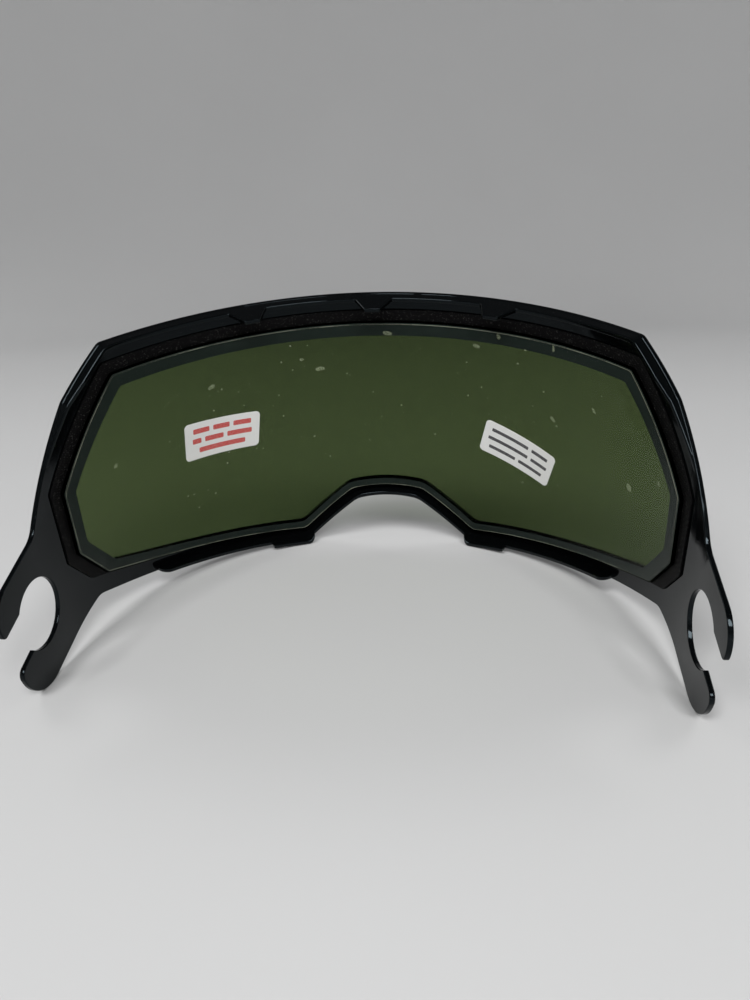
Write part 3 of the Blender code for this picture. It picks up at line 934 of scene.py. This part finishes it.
# %% [markdown]
# ## Bubbles and dust on the film
# Air trapped when the film was laid shows as pale flat blisters, and dust shows as specks between
# them. Both are one small shape repeated, which is work for Geometry Nodes: a tree puts a flat
# dome on every point of a point cloud, each with its own length, width and turn, and the bending
# tree carries them onto the lens. The blisters stand where the real ones do. The dust is random,
# from a fixed seed.


# %% The stamping tree
def stamping_tree():
    tree, given = new_tree(
        "stamp_domes",
        [
            ("Segments", "NodeSocketInt"),
            ("Rings", "NodeSocketInt"),
            ("Finish", "NodeSocketMaterial"),
        ],
    )
    points, segments, rings, finish = list(given)[:4]
    ball = node(tree, "GeometryNodeMeshUVSphere", _0=segments, _1=rings, _2=1.0)
    smooth = node(tree, "GeometryNodeSetShadeSmooth", _0=ball.outputs[0])
    size, turn = [tree.nodes.new("GeometryNodeInputNamedAttribute") for _ in range(2)]
    size.data_type, turn.data_type = "FLOAT_VECTOR", "FLOAT"
    size.inputs["Name"].default_value = "size"
    turn.inputs["Name"].default_value = "turn"
    upright = node(tree, "ShaderNodeCombineXYZ", _2=turn.outputs[0])
    stamps = tree.nodes.new("GeometryNodeInstanceOnPoints")
    tree.links.new(points, stamps.inputs["Points"])
    tree.links.new(smooth.outputs[0], stamps.inputs["Instance"])
    tree.links.new(upright.outputs[0], stamps.inputs["Rotation"])
    tree.links.new(size.outputs[0], stamps.inputs["Scale"])
    close_tree(tree, stamps.outputs[0], finish)
    return tree


STAMPING = stamping_tree()


def stamped(name, places, sizes, turns, detail, finish):
    """Flat domes at places on the sheet, each with its half sizes and its turn."""
    mesh = bpy.data.meshes.new(name)
    mesh.from_pydata(places, [], [])
    size = mesh.attributes.new("size", "FLOAT_VECTOR", "POINT")
    size.data.foreach_set("vector", np.array(sizes, dtype=np.float32).ravel())
    turn = mesh.attributes.new("turn", "FLOAT", "POINT")
    turn.data.foreach_set("value", np.array(turns, dtype=np.float32))
    obj = bpy.data.objects.new(name, mesh)
    bpy.context.scene.collection.objects.link(obj)
    add_tree(obj, STAMPING, {"Segments": detail, "Rings": detail // 2, "Finish": finish})
    return bend(as_mesh(obj), finish)


# %% Bubbles
def bubble_pale():
    material, tree = new_finish("bubble_pale")
    milk = principled(tree, Base_Color=(0.62, 0.7, 0.45, 1.0), Roughness=0.4)
    patchy = ranged(tree, noise(tree, 700.0, 2.0), 0.3, 0.7, 0.09, 0.19)
    output(tree, mixed(tree, patchy, clear(tree, (0.97, 0.98, 0.96)), milk.outputs[0]))
    return material


BUBBLE_HEIGHT, BUBBLE_DETAIL = 0.12 * MM, 24
BUBBLES = [
    (-29.9, 25.2, 0.9, 0.6, 5.0),
    (-23.3, 19.9, 1.9, 0.9, -3.0),
    (-66.5, 24.4, 1.6, 0.8, 14.0),
    (-62.9, 21.9, 0.4, 0.4, 0.0),
    (4.3, 33.6, 1.8, 0.9, -8.0),
    (47.4, 38.0, 0.7, 1.2, 20.0),
    (38.9, 32.2, 1.4, 0.8, -15.0),
    (69.2, 40.2, 0.5, 1.2, 8.0),
    (58.3, 35.7, 0.5, 0.3, 0.0),
    (55.7, 29.3, 0.4, 0.4, 0.0),
    (89.2, 24.4, 1.3, 0.5, -35.0),
    (72.3, 11.8, 1.4, 0.7, -40.0),
    (111.2, 6.0, 1.5, 1.3, -60.0),
    (124.7, 18.9, 0.9, 0.6, -60.0),
    (-112.4, 15.8, 1.0, 0.7, 20.0),
]
bubble_places = [(x * MM, y * MM, film_high) for x, y, *_ in BUBBLES]
bubble_sizes = [(a * MM, b * MM, BUBBLE_HEIGHT) for _, _, a, b, _ in BUBBLES]
bubble_turns = [math.radians(turn) for *_, turn in BUBBLES]
bubble_stamps = (bubble_places, bubble_sizes, bubble_turns)
bubbles = stamped("film_bubbles", *bubble_stamps, BUBBLE_DETAIL, bubble_pale())
place(bubbles, "film", "film")


# %% Dust
def dust_pale():
    material, tree = new_finish("dust_pale")
    colour = blended(tree, noise(tree, 1500.0), (0.07, 0.085, 0.05), (0.24, 0.26, 0.18))
    output(tree, principled(tree, Base_Color=colour, Roughness=0.7).outputs[0])
    return material


DUST_COUNT = 110
DUST_SEED = 11
DUST_SMALL, DUST_LARGE = 0.1 * MM, 0.34 * MM
DUST_HEIGHT, DUST_STRETCH, DUST_DETAIL = 0.05 * MM, 1.5, 8
DUST_ACROSS, DUST_LOWEST, DUST_HIGHEST, DUST_SHARE = 0.92, -0.8, 1.0, 0.8
random = np.random.default_rng(DUST_SEED)
dust_x = random.uniform(-DUST_ACROSS, DUST_ACROSS, DUST_COUNT) * BROW_HALF
dust_y = random.uniform(DUST_LOWEST, DUST_HIGHEST, DUST_COUNT) * BROW_HEIGHT * DUST_SHARE
dust_size = DUST_SMALL + (DUST_LARGE - DUST_SMALL) * random.random(DUST_COUNT) ** 3
dust_places = [(x, y, film_high) for x, y in zip(dust_x, dust_y)]
dust_sizes = [(size * DUST_STRETCH, size, DUST_HEIGHT) for size in dust_size]
dust_turns = random.uniform(0.0, math.pi, DUST_COUNT)
dust = stamped("film_dust", dust_places, dust_sizes, dust_turns, DUST_DETAIL, dust_pale())
place(dust, "film", "film")

# %% [markdown]
# ## The stickers
# Two white paper stickers with rounded corners lie on the film. Here they carry plain ruled bars
# only, red on one and dark on the other. A bar is a flat rounded sheet, a hair thicker than the
# paper, so that the print is part of the shape.

# %% Stickers and their bars
LABEL_WIDTH, LABEL_HEIGHT, LABEL_FILLET = 32.0 * MM, 16.2 * MM, 1.8 * MM
LABEL_THICKNESS, LABEL_EDGE = 0.15 * MM, 0.04 * MM
label_low = film_high + LAYER_GAP
label_high = label_low + LABEL_THICKNESS
BAR_PITCH, BAR_GAP = 4.3 * MM, 1.6 * MM
BAR_THICKNESS, BAR_ROUND = 0.02 * MM, 0.2
BAR_EDGE = BAR_THICKNESS / 4.0
PAPER_TONE = (0.78, 0.78, 0.76)


def paper(name, tone):
    material, tree = new_finish(name)
    fibre = noise(tree, 1800.0, 4.0)
    colour = blended(tree, fibre, tuple(0.94 * share for share in tone), tone)
    shader = principled(
        tree,
        Base_Color=colour,
        Roughness=ranged(tree, fibre, 0.3, 0.7, 0.36, 0.5),
        Normal=bump(tree, fibre, 0.01 * MM, 0.4),
    )
    output(tree, shader.outputs[0])
    return material


def ink(name, tone):
    material, tree = new_finish(name)
    worn = noise(tree, 2500.0, 3.0)
    colour = blended(tree, ranged(tree, worn, 0.45, 0.75, 0.0, 0.35), tone, (0.6, 0.58, 0.56))
    output(tree, principled(tree, Base_Color=colour, Roughness=0.5).outputs[0])
    return material


def rectangle(centre, turn, width, height, fillet):
    """A rounded rectangle, offset from a middle and turned with it."""
    middle, offset = centre
    loop = []
    for across, up in ((1, 1), (1, -1), (-1, -1), (-1, 1)):
        x = offset[0] + across * width / 2.0
        y = offset[1] + up * height / 2.0
        turned_x = x * math.cos(turn) - y * math.sin(turn)
        turned_y = x * math.sin(turn) + y * math.cos(turn)
        loop.append((middle[0] + turned_x, middle[1] + turned_y, fillet, 0.0))
    return traced(loop)


def sticker(name, middle, turn, rows, bar_height, tone, finish_name):
    """A sticker and its rows of bars, each row given as the lengths of its bars."""
    outline = rectangle((middle, (0.0, 0.0)), turn, LABEL_WIDTH, LABEL_HEIGHT, LABEL_FILLET)
    finish = paper(finish_name, PAPER_TONE)
    sheet = bent_sheet(name, [outline], label_low, label_high, LABEL_EDGE, finish)
    place(sheet, "film", "label", name.replace("_piece", ""))
    bars = []
    for row, lengths in enumerate(rows):
        total = (sum(lengths) + BAR_GAP / MM * (len(lengths) - 1)) * MM
        start = -total / 2.0
        for length in lengths:
            offset = (start + length * MM / 2.0, ((len(rows) - 1) / 2.0 - row) * BAR_PITCH)
            start += length * MM + BAR_GAP
            centre, fillet = (middle, offset), bar_height * BAR_ROUND
            bars.append(rectangle(centre, turn, length * MM, bar_height, fillet))
    bar_low = label_high - BAR_THICKNESS / 2.0
    bar_high = bar_low + BAR_THICKNESS
    print_name = name.replace("_piece", "_print")
    print_ink = ink(finish_name + "_ink", tone)
    print_sheet = bent_sheet(print_name, bars, bar_low, bar_high, BAR_EDGE, print_ink)
    place(print_sheet, "film", "label")


LEFT_AT, LEFT_TURN = (-67.3 * MM, 2.4 * MM), math.radians(-12.4)
LEFT_ROWS, LEFT_BAR = [(7.0, 7.0, 7.5), (3.8, 8.0, 10.5), (20.0,)], 2.2 * MM
RIGHT_AT, RIGHT_TURN = (58.9 * MM, -10.1 * MM), math.radians(-10.5)
RIGHT_ROWS, RIGHT_BAR = [(16.5, 7.5), (18.0, 7.5), (12.0, 11.0)], 1.6 * MM
RED_INK, DARK_INK = (0.55, 0.06, 0.05), (0.03, 0.03, 0.035)
sticker("label_left_piece", LEFT_AT, LEFT_TURN, LEFT_ROWS, LEFT_BAR, RED_INK, "paper_left")
sticker("label_right_piece", RIGHT_AT, RIGHT_TURN, RIGHT_ROWS, RIGHT_BAR, DARK_INK, "paper_right")

# %% [markdown]
# ## Floor, light and camera
# The shield stands on a plain pale floor that curves up into a wall all round, so the floor shows
# no horizon from any side. The room above is left dim: black gloss shows whatever is overhead,
# and a bright ceiling would turn the rim white. Two soft lamps stand above and beside the camera
# instead, so the floor inside the shield and both stickers are lit from the front, and two weaker
# ones light the outside of the lens for the views from behind.


# %% Stage
def stage_finish():
    material, tree = new_finish("stage_pale")
    tone = blended(tree, noise(tree, 3.0), (0.6, 0.6, 0.6), (0.64, 0.64, 0.64))
    shader = principled(tree, Base_Color=tone, Roughness=0.9, Specular_IOR_Level=0.1)
    output(tree, shader.outputs[0])
    return material


FLOOR_RADIUS, COVE_RADIUS, WALL_TOP = 0.9, 0.6, 1.1
STAGE_SIDES = 96
COVE_STEPS = 24


def stage_floor():
    """A round floor whose rim sweeps up into a wall."""
    profile = [(0.0, 0.0), (FLOOR_RADIUS, 0.0)]
    for step in range(1, COVE_STEPS + 1):
        turn = math.pi / 2.0 * step / COVE_STEPS
        reach = FLOOR_RADIUS + COVE_RADIUS * math.sin(turn)
        profile.append((reach, COVE_RADIUS * (1.0 - math.cos(turn))))
    profile.append((FLOOR_RADIUS + COVE_RADIUS, WALL_TOP))
    shape = bmesh.new()
    points = [shape.verts.new((reach, 0.0, height)) for reach, height in profile]
    edges = [shape.edges.new(pair) for pair in zip(points, points[1:])]
    bmesh.ops.spin(
        shape,
        geom=points + edges,
        cent=(0.0, 0.0, 0.0),
        axis=(0.0, 0.0, 1.0),
        angle=2.0 * math.pi,
        steps=STAGE_SIDES,
        use_merge=True,
    )
    bmesh.ops.remove_doubles(shape, verts=shape.verts[:], dist=MERGE)
    bmesh.ops.recalc_face_normals(shape, faces=shape.faces[:])
    mesh = bpy.data.meshes.new("stage_floor")
    shape.to_mesh(mesh)
    shape.free()
    mesh.shade_smooth()
    mesh.materials.append(stage_finish())
    obj = bpy.data.objects.new("stage_floor", mesh)
    bpy.context.scene.collection.objects.link(obj)
    return obj


stage_floor()

# %% World and lamps
world = bpy.data.worlds.new("studio")
bpy.context.scene.world = world
world.use_nodes = True
backdrop = world.node_tree.nodes["Background"]
backdrop.inputs["Color"].default_value = (0.9, 0.95, 1.0, 1.0)
backdrop.inputs["Strength"].default_value = 0.06


LAMP_SIZE, LAMP_SPREAD, LAMP_AIM = 0.5, math.radians(140.0), (0.0, 0.05, 0.03)
LAMPS = [
    ("key", (-0.42, -1.05, 1.15), 8.4),
    ("fill", (0.42, -1.1, 1.05), 7.5),
    ("back_left", (-1.0, 0.55, 0.7), 1.5),
    ("back_right", (1.0, 0.55, 0.7), 1.5),
]


def lamp(name, place_at, power):
    """A soft square lamp turned to the shield, with a grid that keeps its light off the walls."""
    light = bpy.data.lights.new(name, "AREA")
    light.shape = "SQUARE"
    light.size = LAMP_SIZE
    light.spread = LAMP_SPREAD
    light.energy = power
    obj = bpy.data.objects.new(name, light)
    obj.location = place_at
    aim_along = Vector(LAMP_AIM) - Vector(place_at)
    obj.rotation_euler = aim_along.to_track_quat("-Z", "Y").to_euler()
    obj.visible_camera = False
    bpy.context.scene.collection.objects.link(obj)


for lamp_values in LAMPS:
    lamp(*lamp_values)

# %% Camera
FOCAL_PIXELS, IMAGE_HEIGHT, SENSOR_WIDTH, CLIP_START = 751.0, 1000.0, 36.0, 0.01
CAMERA_PLACE = (28.71 * MM, -250.33 * MM, 135.91 * MM)
CAMERA_TURN = (70.1827, 1.557, 5.6572)
camera_data = bpy.data.cameras.new("camera")
camera_data.sensor_width = SENSOR_WIDTH
camera_data.lens = SENSOR_WIDTH * FOCAL_PIXELS / IMAGE_HEIGHT
camera_data.clip_start = CLIP_START
camera = bpy.data.objects.new("camera", camera_data)
camera.location = CAMERA_PLACE
camera.rotation_euler = [math.radians(angle) for angle in CAMERA_TURN]
bpy.context.scene.collection.objects.link(camera)
bpy.context.scene.camera = camera
bpy.context.scene.view_settings.view_transform = "Standard"
